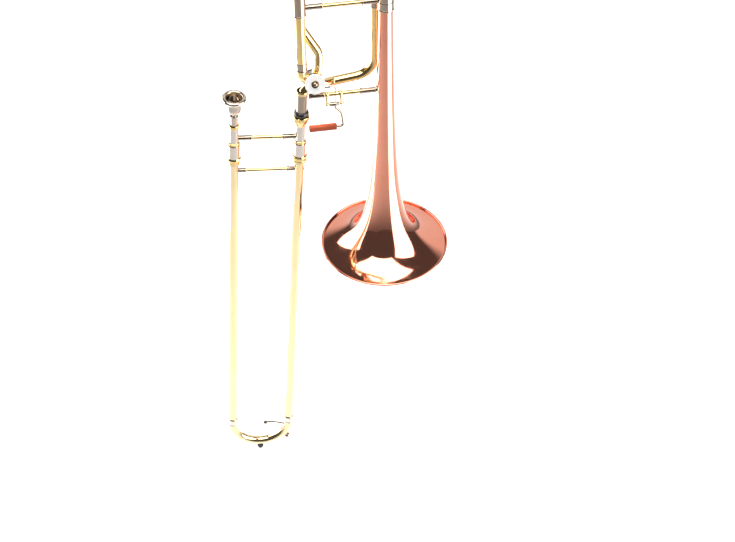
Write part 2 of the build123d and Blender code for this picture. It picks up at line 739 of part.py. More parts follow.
with BuildPart() as lock_ring:
    ring_bore = BARREL_RADIUS + 0.06
    add_tube(bell_leg, ring_start, lip_start, 11.6, ring_bore)
    add_bead(bell_leg, ring_start, ring_start + 3.5, 12.1, ring_bore)
    add_bead(bell_leg, lip_start - 3, lip_start, 12.1, ring_bore)
    add_tube(bell_leg, lip_start, ring_end, 11.4, lip_bore)
    with BuildSketch(bell_leg.offset(lip_start - 0.1)) as notch:
        with Locations((0, lip_bore)):
            Rectangle(4.4, 3.6)
    extrude(notch.sketch, amount=ring_end - lip_start + 0.2, mode=Mode.SUBTRACT)
keep(lock_ring, "slide_lock_ring")


def leg_points(distance):
    """The two legs' axis points at a distance down the slide."""
    return [tuple(leg.from_local_coords((0, 0, distance))) for leg in (bell_leg, mouth_leg)]


with BuildPart() as inner_brace:
    add_brace(*leg_points(INNER_BRACE_S), TENON_RADIUS - 1, TENON_RADIUS - 1, 3.2)
    for leg in legs.values():
        add_tube(leg, 80, 110, TENON_RADIUS + 0.12, mode=Mode.SUBTRACT)
keep(inner_brace, "inner_slide_brace")


# ---------------------------------------------------------------- mouthpiece

with BuildPart() as mouthpiece:
    rim = MOUTHPIECE_RIM_S
    with BuildSketch(section_of(mouth_leg)) as cup:
        with BuildLine():
            ThreePointArc((12.9, rim + 2.2), (15.4, rim), (MOUTHPIECE_RADIUS, rim + 3.0))
            Spline(
                (MOUTHPIECE_RADIUS, rim + 3.0),
                (17.4, rim + 6.6),
                (13.4, rim + 9.6),
                (12.5, rim + 13.0),
                tangents=[(-0.2, 1), (0, 1)],
            )
            Line((12.5, rim + 13.0), (12.4, rim + 21.0))
            Spline((12.4, rim + 21.0), (9.4, rim + 29.5), (5.4, rim + 35.0), tangents=[(0, 1), (-0.4, 1)])
            Polyline(
                (5.4, rim + 35.0),
                (7.1, rim + 36.2),
                (7.1, rim + 37.6),
                (5.9, rim + 38.4),
                (shank_top_radius, shank_top),
                (shank_end_radius, shank_end),
                (5.3, shank_end),
                (3.5, rim + 40.0),
                (3.5, rim + 33.0),
            )
            Spline(
                (3.5, rim + 33.0),
                (5.2, rim + 25.0),
                (10.6, rim + 13.0),
                (12.9, rim + 2.2),
                tangents=[(0.05, -1), (0.1, -1)],
            )
        make_face()
    revolve(cup.sketch, axis=Axis(mouth_leg.origin, mouth_leg.z_dir))
keep(mouthpiece, "mouthpiece")


# ---------------------------------------------------------------- outer slide

ferrule_low = 780.0
crook_radius = OUTER_RADIUS + 0.15
crook_bend = LEG_SPACING / 2
crook_bottom = CROOK_START + crook_bend


def slide_point(across, behind, distance):
    """A point given across, behind and down the slide from its bell-side leg."""
    return tuple(bell_leg.from_local_coords((across, behind, distance)))


crook_route = [
    slide_point(0, 0, OUTER_END),
    slide_point(0, 0, crook_bottom),
    slide_point(LEG_SPACING, 0, crook_bottom),
    slide_point(LEG_SPACING, 0, OUTER_END),
]


def crook_point(angle, radius, behind=0.0):
    """A point at an angle round the crook's centre, from the bell-side leg."""
    turn = radians(angle)
    return slide_point(crook_bend - radius * cos(turn), behind, CROOK_START + radius * sin(turn))


for side, leg in legs.items():
    with BuildPart() as outer_tube:
        add_tube(leg, OUTER_TOP, OUTER_END, OUTER_RADIUS, OUTER_BORE)
    keep(outer_tube, f"{side}_outer_tube")

# The bell-side collar carries the peg that the lock ring turns over.
with BuildPart() as collars:
    for leg in legs.values():
        add_tube(leg, OUTER_TOP, 149, 8.6, OUTER_RADIUS + 0.02)
    peg = Plane(origin=slide_point(0, 8.0, 139.5), x_dir=bell_leg.x_dir, z_dir=bell_leg.y_dir)
    add_tube(peg, 0, 2.0, 1.2)
    add_tube(bell_leg, 130, 148, OUTER_RADIUS + 0.02, mode=Mode.SUBTRACT)
keep(collars, "outer_slide_collars")

with BuildPart() as outer_brace:
    add_brace(*leg_points(OUTER_BRACE_S), OUTER_RADIUS - 1, OUTER_RADIUS - 1, 2.8)
    for leg in legs.values():
        add_bead(leg, OUTER_BRACE_S - 4.5, OUTER_BRACE_S + 4.5, OUTER_RADIUS + 0.7, OUTER_RADIUS - 1)
        add_tube(leg, 150, 180, OUTER_RADIUS + 0.02, mode=Mode.SUBTRACT)
keep(outer_brace, "outer_slide_brace")

with BuildPart() as crook_ferrules:
    for leg in legs.values():
        add_tube(leg, ferrule_low, OUTER_END, crook_radius + 0.7, OUTER_RADIUS + 0.02)
        add_tube(leg, OUTER_END, CROOK_START, crook_radius + 0.7, crook_radius + 0.02)
        add_bead(leg, ferrule_low, ferrule_low + 3, crook_radius + 1.3, crook_radius + 0.5)
        add_bead(leg, CROOK_START - 3, CROOK_START, crook_radius + 1.3, crook_radius + 0.5)
keep(crook_ferrules, "crook_ferrules")

nipple_axis = facing(crook_point(KEY_NIPPLE_ANGLE, crook_bend), crook_point(KEY_NIPPLE_ANGLE, 100))
with BuildPart() as crook:
    add_pipe(crook_route, crook_bend - 0.01, crook_radius, OUTER_BORE)
    add_tube(nipple_axis, 0, 12, 1.8, mode=Mode.SUBTRACT)
keep(crook, "slide_crook")

key_axis = Plane(
    origin=crook_point(KEY_PIVOT_ANGLE, crook_bend), x_dir=bell_leg.x_dir, z_dir=bell_leg.y_dir
)
key_bore = 1.4
bumper_axis = facing(crook_point(90, crook_bend), crook_point(90, 100))

# The drain nipple, the water key's saddle and the bumper's stem are soldered to the crook.
with BuildPart() as crook_fittings:
    add_tube(nipple_axis, 6, crook_radius + 3.4, 3.0)
    add_tube(nipple_axis, 6, crook_radius + 1.2, 4.2)
    add_tube(nipple_axis, 0, 20, 1.8, mode=Mode.SUBTRACT)
    add_tube(key_axis, 4, crook_radius + 1.4, 3.6)
    add_tube(bumper_axis, 5, crook_radius + 3.0, 4.2)
    add_pipe(crook_route, crook_bend - 0.01, crook_radius + 0.02, mode=Mode.SUBTRACT)
    add_tube(key_axis, crook_radius, KEY_DEPTH, key_bore - 0.05, mode=Mode.SUBTRACT)
keep(crook_fittings, "crook_fittings")

with BuildPart() as bumper:
    add_tube(bumper_axis, crook_radius + 0.6, crook_radius + 5.5, 6.4)
    with BuildSketch(section_of(bumper_axis)) as dome:
        with BuildLine():
            foot = crook_radius + 5.5
            Line((0, foot), (6.4, foot))
            Spline((6.4, foot), (5.2, foot + 5.0), (0, foot + 9.5), tangents=[(0, 1), (-1, 0)])
            Line((0, foot + 9.5), (0, foot))
        make_face()
    revolve(dome.sketch, axis=Axis(bumper_axis.origin, bumper_axis.z_dir))
    add_tube(bumper_axis, 0, crook_radius + 3.0, 4.22, mode=Mode.SUBTRACT)
    add_pipe(crook_route, crook_bend - 0.01, crook_radius + 0.3, mode=Mode.SUBTRACT)
keep(bumper, "slide_bumper")


# ---------------------------------------------------------------- water key

key_pivot = crook_point(KEY_PIVOT_ANGLE, crook_bend, KEY_DEPTH)
nipple_end = crook_radius + 3.4
pad_low = nipple_end + 0.1
cup_back = pad_low + 3.8
key_rod = 1.5

with BuildPart() as key_screw:
    add_tube(key_axis, crook_radius + 0.1, KEY_DEPTH + 2.0, key_bore - 0.05)
    add_bead(key_axis, KEY_DEPTH + 2.0, KEY_DEPTH + 3.4, 2.4, 0.0)
keep(key_screw, "water_key_screw")

with BuildPart() as key_lever:
    add_tube(key_axis, KEY_DEPTH - 1.7, KEY_DEPTH + 1.7, 3.0)
    add_pipe(
        [
            key_pivot,
            slide_point(20, KEY_DEPTH, 814.5),
            slide_point(36, KEY_DEPTH, 811.5),
            slide_point(44, KEY_DEPTH, 814.0),
        ],
        [14.0, 10.0],
        key_rod,
    )
    with Locations(Plane(origin=slide_point(43, KEY_DEPTH, 813.4), z_dir=bell_leg.z_dir)):
        Sphere(3.6)
    add_tube(bell_leg, 790, 811.6, 60, mode=Mode.SUBTRACT)
    add_pipe(
        [
            key_pivot,
            crook_point(33, 63, KEY_DEPTH),
            crook_point(KEY_NIPPLE_ANGLE, crook_bend + cup_back + 2.0, KEY_DEPTH - 2),
            crook_point(KEY_NIPPLE_ANGLE, crook_bend + cup_back + 1.0, 0),
        ],
        [5.0, 3.5],
        key_rod,
    )
    add_tube(nipple_axis, pad_low + 1.0, cup_back, 4.9)
    add_ball(crook_point(KEY_NIPPLE_ANGLE, crook_bend + cup_back + 0.4), 1.9)
    add_tube(nipple_axis, pad_low, pad_low + 2.2, 4.25, mode=Mode.SUBTRACT)
    add_tube(key_axis, KEY_DEPTH - 4, KEY_DEPTH + 4, key_bore, mode=Mode.SUBTRACT)
keep(key_lever, "water_key_lever")

with BuildPart() as key_pad:
    add_tube(nipple_axis, pad_low, pad_low + 2.2, 4.2)
keep(key_pad, "water_key_cork")


# ---------------------------------------------------------------- F trigger

hinge = Plane(origin=(0, HINGE_Y, HINGE_Z), x_dir=(0, 1, 0), z_dir=(1, 0, 0))
brace_line = Plane(origin=(0, 0, LOWER_BRACE_Z), x_dir=(0, 1, 0), z_dir=(1, 0, 0))

with BuildPart() as trigger_saddle:
    for x in POSTS_X.values():
        add_tube(facing((x, 0, LOWER_BRACE_Z), (x, HINGE_Y, HINGE_Z)), 2, 15.6, 1.9)
        add_bead(brace_line, x - 3.2, x + 3.2, BRACE_RADIUS + 1.2, BRACE_RADIUS - 1)
        add_ball((x, HINGE_Y, HINGE_Z), 2.9)
    add_tube(brace_line, -110, -50, BRACE_RADIUS + 0.02, mode=Mode.SUBTRACT)
    add_tube(hinge, -110, -50, PIN_RADIUS + 0.02, mode=Mode.SUBTRACT)
keep(trigger_saddle, "trigger_saddle")

with BuildPart() as trigger_pin:
    add_tube(hinge, POSTS_X["left"] - 3.2, POSTS_X["right"] + 3.2, PIN_RADIUS)
    add_bead(hinge, POSTS_X["right"] + 3.2, POSTS_X["right"] + 4.4, 2.2, 0.0)
keep(trigger_pin, "trigger_pin")

# The lever's arm stands so that its end moves along the valve's disc, as the link does.
arm_length = STUD_RADIUS * sqrt(2) / (2 * sin(radians(TRIGGER_THROW / 2)))
arm_drop = radians(VALVE_LEAN + TRIGGER_THROW / 2)
arm_end = (ARM_X, HINGE_Y + arm_length * cos(arm_drop), HINGE_Z - arm_length * sin(arm_drop))

with BuildPart() as trigger_lever:
    add_tube(hinge, *HINGE_TUBE, 3.4)
    add_pipe(
        [
            (-81.2, HINGE_Y, HINGE_Z),
            (-79.5, HINGE_Y - 0.7, 313.5),
            (-71.0, -11.8, 304.0),
            (-68.3, ROLLER_Y, ROLLER_Z),
            (ROLLER_SPAN[0] + 2, ROLLER_Y, ROLLER_Z),
        ],
        [5.0, 9.0, 4.5],
        LEVER_ROD,
    )
    add_tube(facing((ARM_X, HINGE_Y, HINGE_Z), arm_end), 2, arm_length, 1.7)
    add_ball(arm_end, 2.4)
    add_tube(hinge, HINGE_TUBE[0] - 1, HINGE_TUBE[1] + 1, PIN_RADIUS + 0.05, mode=Mode.SUBTRACT)
keep(trigger_lever, "trigger_lever")

roller_axis = Plane(origin=(0, ROLLER_Y, ROLLER_Z), x_dir=(0, 1, 0), z_dir=(1, 0, 0))
with BuildPart() as roller:
    add_tube(roller_axis, *ROLLER_SPAN, ROLLER_RADIUS)
    add_tube(roller_axis, ROLLER_SPAN[0] + 1.9, ROLLER_SPAN[1] + 1, LEVER_ROD + 0.02, mode=Mode.SUBTRACT)
    chamfer(roller.edges().filter_by(GeomType.CIRCLE).sort_by(SortBy.RADIUS)[-2:], 0.6)
keep(roller, "trigger_roller")

with BuildPart() as trigger_spring:
    spring_start = HINGE_TUBE[1] + 0.9
    with BuildLine() as spring_line:
        Helix(1.05, 4.2, 2.6, center=(0, 0, 0), direction=(0, 0, 1))
    with BuildSketch(Plane(origin=spring_line.line @ 0, z_dir=spring_line.line % 0)) as wire:
        Circle(0.42)
    sweep(wire.sketch, path=spring_line.line)
trigger_spring.part = (
    Plane(origin=(spring_start, HINGE_Y, HINGE_Z), x_dir=(0, 1, 0), z_dir=(1, 0, 0)) * trigger_spring.part
)
keep(trigger_spring, "trigger_spring")

link_ball = stud_plane.from_local_coords((0, 0, link_level))

with BuildPart() as link:
    across = Plane(origin=link_ball, x_dir=(0, 1, 0), z_dir=(1, 0, 0))
    add_tube(across, -2.9, LINK_SOCKET_END - link_ball.X, 2.9)
    add_pipe(
        [
            (LINK_SOCKET_END - 2, link_ball.Y, link_ball.Z),
            (-83.0, link_ball.Y, link_ball.Z),
            (LINK_X, -5.0, 345.5),
            (LINK_X, LINK_Y, 335.5),
            (LINK_X, LINK_Y, arm_end[2]),
        ],
        [4.0, 6.0, 5.0],
        LINK_ROD,
    )
    add_ball((LINK_X, LINK_Y, arm_end[2]), 1.7)
    add_ball(link_ball, LINK_BALL + 0.08, mode=Mode.SUBTRACT)
    add_tube(stud_plane, link_level, link_level + 5, 1.5, mode=Mode.SUBTRACT)
keep(link, "trigger_link")
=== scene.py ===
from math import atan2, cos, pi, radians, sin, sqrt
import json

import bpy
import numpy as np
from mathutils import Matrix, Vector


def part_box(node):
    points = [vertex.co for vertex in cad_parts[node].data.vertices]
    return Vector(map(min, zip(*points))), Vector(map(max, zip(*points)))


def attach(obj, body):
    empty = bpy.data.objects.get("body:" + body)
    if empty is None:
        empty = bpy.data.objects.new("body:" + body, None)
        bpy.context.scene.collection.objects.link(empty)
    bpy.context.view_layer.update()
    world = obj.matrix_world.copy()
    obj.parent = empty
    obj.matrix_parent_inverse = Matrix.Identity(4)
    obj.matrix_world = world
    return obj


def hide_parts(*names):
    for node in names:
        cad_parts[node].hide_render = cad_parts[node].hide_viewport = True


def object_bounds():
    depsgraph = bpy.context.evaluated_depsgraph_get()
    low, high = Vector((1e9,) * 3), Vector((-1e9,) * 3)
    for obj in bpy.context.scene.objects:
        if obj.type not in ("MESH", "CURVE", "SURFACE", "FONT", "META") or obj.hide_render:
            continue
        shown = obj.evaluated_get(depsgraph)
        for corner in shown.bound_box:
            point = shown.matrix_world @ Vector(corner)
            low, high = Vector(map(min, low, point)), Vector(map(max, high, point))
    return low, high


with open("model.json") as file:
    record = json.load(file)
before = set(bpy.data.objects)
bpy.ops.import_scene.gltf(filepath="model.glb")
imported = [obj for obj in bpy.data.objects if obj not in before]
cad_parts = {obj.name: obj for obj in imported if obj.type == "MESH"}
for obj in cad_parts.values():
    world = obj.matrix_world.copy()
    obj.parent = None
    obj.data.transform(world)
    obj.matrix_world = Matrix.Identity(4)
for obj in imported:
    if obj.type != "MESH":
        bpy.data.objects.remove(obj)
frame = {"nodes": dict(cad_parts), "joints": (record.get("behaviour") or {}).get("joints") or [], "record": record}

# A tenor trombone with an F attachment, in a white studio. Metres, in the row's frame:
# the origin is the middle of the bell's rim, the bell opens towards -Z, and the slide hangs at -X.

cad_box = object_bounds()
MM = 0.001


# ---------------------------------------------------------------- places read from the frame

def joint(name):
    """A joint's place and unit axis."""
    found = next(each for each in frame["joints"] if each["name"] == name)
    return Vector(found.get("pos_m", (0, 0, 0))), Vector(found["axis"]).normalized()


def middle(node):
    """The middle of a CAD node's box."""
    low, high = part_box(node)
    return (low + high) / 2


def vertices(node):
    """A CAD node's vertices as an array."""
    mesh = frame["nodes"][node].data
    places = np.empty(len(mesh.vertices) * 3)
    mesh.vertices.foreach_get("co", places)
    return places.reshape(-1, 3)


def reach(node, origin, axis):
    """How far along an axis a CAD node starts and ends."""
    heights = (vertices(node) - np.array(origin)) @ np.array(axis)
    return heights.min(), heights.max()


slide_origin, slide_down = joint("slide_swivel")
up = Vector((0, 0, 1))
to_mouth_side = middle("mouthpiece") - slide_origin
across = (to_mouth_side - to_mouth_side.dot(slide_down) * slide_down).normalized()
between_legs = vertices("mouth_side_outer_tube").mean(0) - vertices("bell_side_outer_tube").mean(0)
leg_spacing = between_legs @ np.array(across)
mouth_origin = slide_origin + across * leg_spacing


# ---------------------------------------------------------------- meshes

def rounded(outline, radius, steps=3):
    """An outline of (radius, height, finish) corners with each corner turned into a small arc."""
    points = []
    count = len(outline)
    for index, (r, h, finish) in enumerate(outline):
        corner = Vector((r, h))
        before = Vector(outline[index - 1][:2]) - corner
        after = Vector(outline[(index + 1) % count][:2]) - corner
        cut = min(radius, 0.45 * before.length, 0.45 * after.length)
        start = corner + before.normalized() * cut
        end = corner + after.normalized() * cut
        came_with = outline[index - 1][2]
        for step in range(steps + 1):
            t = step / steps
            point = start * (1 - t) ** 2 + corner * 2 * t * (1 - t) + end * t ** 2
            points.append((point.x, point.y, came_with if t < 0.5 else finish))
    return points


def finish_mesh(name, points, faces, finishes, materials, sharp=35.0):
    """Makes a smooth-shaded object from points, faces and each face's material number."""
    mesh = bpy.data.meshes.new(name)
    mesh.from_pydata(points, [], faces)
    for material in materials:
        mesh.materials.append(material)
    mesh.polygons.foreach_set("material_index", finishes)
    mesh.polygons.foreach_set("use_smooth", [True] * len(faces))
    mesh.update()
    mesh.set_sharp_from_angle(angle=radians(sharp))
    piece = bpy.data.objects.new(name, mesh)
    bpy.context.scene.collection.objects.link(piece)
    return piece


def lathe(name, outline, origin, axis, materials, turns=128):
    """Turns a closed outline of (radius, height, finish) corners about an axis.

    Corners on the axis itself close the shape there.
    """
    side = axis.orthogonal().normalized()
    front = axis.cross(side)
    points = []
    rings = []
    for r, h, _ in outline:
        if r < 1e-7:
            rings.append([len(points)] * turns)
            points.append(origin + axis * h)
            continue
        rings.append(list(range(len(points), len(points) + turns)))
        for turn in range(turns):
            angle = 2 * pi * turn / turns
            points.append(origin + axis * h + (side * cos(angle) + front * sin(angle)) * r)
    faces = []
    finishes = []
    for index, (ring, (_, _, finish)) in enumerate(zip(rings, outline)):
        following = rings[(index + 1) % len(rings)]
        if ring[0] == ring[1] and following[0] == following[1]:
            continue
        for turn in range(turns):
            onward = (turn + 1) % turns
            corners = [ring[turn], ring[onward], following[onward], following[turn]]
            faces.append(list(dict.fromkeys(corners)))
            finishes.append(finish)
    return finish_mesh(name, points, faces, finishes, materials)


# ---------------------------------------------------------------- materials

class Finish:
    """A material whose nodes are added one after another."""

    def __init__(self, name):
        self.material = bpy.data.materials.new(name)
        self.material.use_nodes = True
        self.nodes = self.material.node_tree.nodes
        self.links = self.material.node_tree.links
        self.shader = self.nodes["Principled BSDF"]
        self.place = self.nodes.new("ShaderNodeTexCoord").outputs["Object"]

    def link(self, start, end):
        self.links.new(start, end)

    def noise(self, scale, detail=3.0, roughness=0.5, stretch=(1, 1, 1)):
        """Noise over the object's own space, in lumps of about 1 / scale metres."""
        mapping = self.nodes.new("ShaderNodeMapping")
        mapping.inputs["Scale"].default_value = stretch
        texture = self.nodes.new("ShaderNodeTexNoise")
        texture.inputs["Scale"].default_value = scale
        texture.inputs["Detail"].default_value = detail
        texture.inputs["Roughness"].default_value = roughness
        self.link(self.place, mapping.inputs["Vector"])
        self.link(mapping.outputs["Vector"], texture.inputs["Vector"])
        return texture.outputs["Fac"]

    def spread(self, value, low, high, start=0.3, end=0.7):
        """A value between start and end stretched over low to high."""
        stretched = self.nodes.new("ShaderNodeMapRange")
        stretched.inputs["From Min"].default_value = start
        stretched.inputs["From Max"].default_value = end
        stretched.inputs["To Min"].default_value = low
        stretched.inputs["To Max"].default_value = high
        self.link(value, stretched.inputs["Value"])
        return stretched.outputs["Result"]

    def mix(self, factor, first, second):
        """Two colours mixed; either may be a colour or a socket."""
        mixed = self.nodes.new("ShaderNodeMix")
        mixed.data_type = "RGBA"
        self.link(factor, mixed.inputs["Factor"])
        for socket, colour in ((mixed.inputs[6], first), (mixed.inputs[7], second)):
            if isinstance(colour, tuple):
                socket.default_value = (*colour, 1)
            else:
                self.link(colour, socket)
        return mixed.outputs[2]

    def bump(self, height, distance, strength=1.0):
        """Bumps of a real height, in metres."""
        bump = self.nodes.new("ShaderNodeBump")
        bump.inputs["Strength"].default_value = strength
        bump.inputs["Distance"].default_value = distance
        self.link(height, bump.inputs["Height"])
        self.link(bump.outputs["Normal"], self.shader.inputs["Normal"])


def polished(name, colour, aged, smooth=0.05, worn=0.14, lacquer=0.0, metallic=1.0):
    """Polished metal: faint tarnish clouds, smudges, and polishing lines round the tube."""
    finish = Finish(name)
    shader = finish.shader
    shader.inputs["Metallic"].default_value = metallic
    shader.inputs["Coat Weight"].default_value = lacquer
    shader.inputs["Coat Roughness"].default_value = 0.04
    clouds = finish.spread(finish.noise(14, detail=5, roughness=0.6), 0.0, 0.6, 0.42, 0.72)
    specks = finish.spread(finish.noise(420, detail=2), 0.0, 0.35, 0.62, 0.72)
    tint = finish.mix(clouds, colour, aged)
    darker = tuple(0.55 * channel for channel in aged)
    finish.link(finish.mix(specks, tint, darker), shader.inputs["Base Color"])
    smudges = finish.noise(55, detail=4, roughness=0.65)
    finish.link(finish.spread(smudges, smooth, worn, 0.35, 0.75), shader.inputs["Roughness"])
    finish.bump(finish.noise(60, detail=2, stretch=(1, 1, 40)), 0.6e-6)
    return finish.material


def moulded(name, colour, shade, rough=(0.45, 0.65), depth=12e-6, specular=0.5):
    """Plastic or rubber with a fine moulded grain."""
    finish = Finish(name)
    clouds = finish.spread(finish.noise(40, detail=4), 0.0, 1.0)
    finish.link(finish.mix(clouds, colour, shade), finish.shader.inputs["Base Color"])
    finish.link(finish.spread(finish.noise(120), *rough), finish.shader.inputs["Roughness"])
    finish.shader.inputs["Specular IOR Level"].default_value = specular
    finish.bump(finish.noise(900, detail=2), depth)
    return finish.material


def cork_finish():
    """Pressed cork: light grains with dark specks between them."""
    finish = Finish("cork")
    cells = finish.nodes.new("ShaderNodeTexVoronoi")
    cells.inputs["Scale"].default_value = 1400
    finish.link(finish.place, cells.inputs["Vector"])
    specks = finish.spread(finish.noise(2300, detail=2), 0.0, 1.0, 0.55, 0.65)
    edges = finish.spread(cells.outputs["Distance"], 0, 1, 0.1, 0.8)
    grains = finish.mix(edges, (0.42, 0.21, 0.11), (0.26, 0.11, 0.06))
    finish.link(finish.mix(specks, grains, (0.09, 0.03, 0.02)), finish.shader.inputs["Base Color"])
    finish.shader.inputs["Roughness"].default_value = 0.85
    finish.bump(cells.outputs["Distance"], 60e-6)
    return finish.material


rose_brass = polished("rose_brass", (0.85, 0.34, 0.23), (0.79, 0.28, 0.18), lacquer=0.25)
yellow_brass = polished("yellow_brass", (0.82, 0.60, 0.27), (0.74, 0.50, 0.19), lacquer=0.25)
# Paler copy of the yellow brass for the hand slide: painted light, standing in for the bright floor that the
# low-lying slide mirrors.
slide_brass_painted_light = polished("slide_brass_painted_light", (0.90, 0.72, 0.42), (0.85, 0.65, 0.35), lacquer=0.25)
nickel = polished("nickel_silver", (0.41, 0.33, 0.26), (0.34, 0.27, 0.20))
# Paler copy of the nickel silver for the hand slide: painted light, standing in for the same floor reflection.
slide_nickel_painted_light = polished("slide_nickel_painted_light", (0.70, 0.64, 0.57), (0.61, 0.54, 0.47))
# Near-white, mostly non-metal nickel for the rotor disc: a painted sheen, standing in for the bright light the
# disc mirrors.
nickel_painted_sheen = polished(
    "nickel_painted_sheen", (0.93, 0.92, 0.90), (0.88, 0.87, 0.84), smooth=0.38, worn=0.5, metallic=0.25
)
# Dark brown copy of the nickel for the rotor screw: painted shade, standing in for the dark studio its polished
# dome mirrors.
nickel_painted_shade = polished("nickel_painted_shade", (0.30, 0.22, 0.16), (0.22, 0.15, 0.10), smooth=0.08, worn=0.18)
chrome = polished("chrome_plate", (0.60, 0.61, 0.62), (0.54, 0.55, 0.57), smooth=0.03, worn=0.08)
silver = polished("silver_plate", (0.56, 0.49, 0.42), (0.48, 0.41, 0.34), smooth=0.04, worn=0.10)
steel = polished("steel", (0.55, 0.53, 0.50), (0.45, 0.43, 0.40), smooth=0.12, worn=0.25)
black_ring = moulded(
    "black_ring", (0.010, 0.011, 0.013), (0.018, 0.019, 0.022), rough=(0.14, 0.24), depth=2e-6
)
roller_sleeve = moulded(
    "roller_sleeve", (0.50, 0.10, 0.04), (0.43, 0.08, 0.03), rough=(0.5, 0.7), specular=0.15
)
bumper_rubber = moulded(
    "bumper_rubber", (0.035, 0.036, 0.04), (0.055, 0.056, 0.06), rough=(0.6, 0.8), depth=25e-6
)
cork = cork_finish()


# A cone down the mouthpiece, inside which its metal turns satin gold. About halfway down the cup,
# the wall lies outside this cone and stays silver.
CUP_RIM = 12.0 * MM
CUP_BOTTOM = 40.0 * MM
CUP_MOUTH_RADIUS = 14.6 * MM
CUP_BOTTOM_RADIUS = 4.5 * MM


def tint_cup(material, colour, roughness):
    """Turns what lies within the cone a satin gold: the top and the bottom of the cup's inside."""
    nodes = material.node_tree.nodes
    links = material.node_tree.links
    shader = nodes["Principled BSDF"]
    place = next(node for node in nodes if node.bl_idname == "ShaderNodeTexCoord").outputs["Object"]

    def vector_maths(operation, first, second):
        node = nodes.new("ShaderNodeVectorMath")
        node.operation = operation
        links.new(first, node.inputs[0])
        if isinstance(second, Vector):
            node.inputs[1].default_value = second
        elif second is not None:
            links.new(second, node.inputs[1])
        return node

    offset = vector_maths("SUBTRACT", place, mouth_origin).outputs["Vector"]
    height = vector_maths("DOT_PRODUCT", offset, slide_down).outputs["Value"]
    off_axis = vector_maths("CROSS_PRODUCT", offset, slide_down).outputs["Vector"]
    radius = vector_maths("LENGTH", off_axis, None).outputs["Value"]
    cone = nodes.new("ShaderNodeMapRange")
    cone.inputs["From Min"].default_value = CUP_RIM
    cone.inputs["From Max"].default_value = CUP_BOTTOM
    cone.inputs["To Min"].default_value = CUP_MOUTH_RADIUS
    cone.inputs["To Max"].default_value = CUP_BOTTOM_RADIUS
    links.new(height, cone.inputs["Value"])
    inside = nodes.new("ShaderNodeMath")
    inside.operation = "LESS_THAN"
    links.new(radius, inside.inputs[0])
    links.new(cone.outputs["Result"], inside.inputs[1])
    for socket, value, kind, first, second, result in (
        (shader.inputs["Base Color"], colour, "RGBA", 6, 7, 2),
        (shader.inputs["Roughness"], roughness, "FLOAT", 2, 3, 0),
    ):
        mixed = nodes.new("ShaderNodeMix")
        mixed.data_type = kind
        links.new(inside.outputs["Value"], mixed.inputs["Factor"])
        links.new(socket.links[0].from_socket, mixed.inputs[first])
        mixed.inputs[second].default_value = value
        links.new(mixed.outputs[result], socket)


tint_cup(silver, (0.62, 0.50, 0.36, 1), 0.33)

finishes = {
    "rose_brass": rose_brass,
    "yellow_brass": yellow_brass,
    "nickel_silver": nickel,
    "chrome_plate": chrome,
    "silver_plate": silver,
    "steel": steel,
    "black_ring": black_ring,
    "roller_sleeve": roller_sleeve,
    "bumper_rubber": bumper_rubber,
    "cork": cork,
}
special_finishes = {
    # The hand slide's parts take the paler copies of brass and nickel: painted light.
    "bell_side_outer_tube": slide_brass_painted_light,
    "mouth_side_outer_tube": slide_brass_painted_light,
    "slide_crook": slide_brass_painted_light,
    "cork_barrels": slide_nickel_painted_light,
    "inner_slide_sleeves": slide_nickel_painted_light,
    "outer_slide_collars": slide_nickel_painted_light,
    "crook_ferrules": slide_nickel_painted_light,
    "slide_lock_ring": yellow_brass,
    # The rotor disc takes the painted sheen.
    "rotor_disc": nickel_painted_sheen,
    # The rotor screw takes the painted shade.
    "rotor_screw": nickel_painted_shade,
}

for part in frame["record"]["subparts"]:
    node = part["node"]
    finish = special_finishes.get(node, finishes[part["material_slot"]])
    materials = frame["nodes"][node].data.materials
    materials.clear()
    materials.append(finish)


# ---------------------------------------------------------------- bell

FLARE_START = 15.3 * MM
FLARE_POWER = 0.65
BELL_WALL = 0.6 * MM
RIM_ROLL = 1.9 * MM

bell_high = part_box("bell")[1]
rim_radius = bell_high.x
tail_top = bell_high.z


def bell_radius(height):
    """Outer radius of the bell at a height above its rim."""
    return rim_radius * (FLARE_START / (height + FLARE_START)) ** FLARE_POWER


def build_bell():
    """The bell: one spun sheet from the tail down to a rim rolled over its wire."""
    flare_low = 0.62 * MM
    steps = 220
    growth = ((tail_top + FLARE_START) / (flare_low + FLARE_START)) ** (1 / steps)
    heights = [(flare_low + FLARE_START) * growth ** step - FLARE_START for step in range(steps + 1)]
    heights[-1] = tail_top
    outside = [(bell_radius(height), height, 0) for height in heights]
    inside = []
    for height in heights:
        slope = -FLARE_POWER * bell_radius(height) / (height + FLARE_START)
        step_in = BELL_WALL / sqrt(1 + slope ** 2)
        inside.append((bell_radius(height) - step_in, min(height + slope * step_in, tail_top), 0))
    roll_r = rim_radius - RIM_ROLL
    start = atan2(outside[0][1] - RIM_ROLL, outside[0][0] - roll_r)
    end = atan2(inside[0][1] - RIM_ROLL, inside[0][0] - roll_r) - 2 * pi
    roll = []
    for step in range(1, 36):
        angle = end + (start - end) * step / 36
        roll.append((roll_r + RIM_ROLL * cos(angle), RIM_ROLL + RIM_ROLL * sin(angle), 0))
    outline = outside + inside[::-1] + roll
    piece = lathe("bell_spun", outline, Vector((0, 0, 0)), up, [rose_brass], turns=288)
    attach(piece, "bell_section")
    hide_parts("bell")


build_bell()


# ---------------------------------------------------------------- braces

SLEEVE_SHARE = 0.22
SLEEVE_STEP = 0.8 * MM
BEAD_STEP = 0.7 * MM
BEAD_HALF = 1.2 * MM
EDGE_RADIUS = 0.6 * MM
EDGE_STEPS = 4                   # each rounded corner has one more point than this


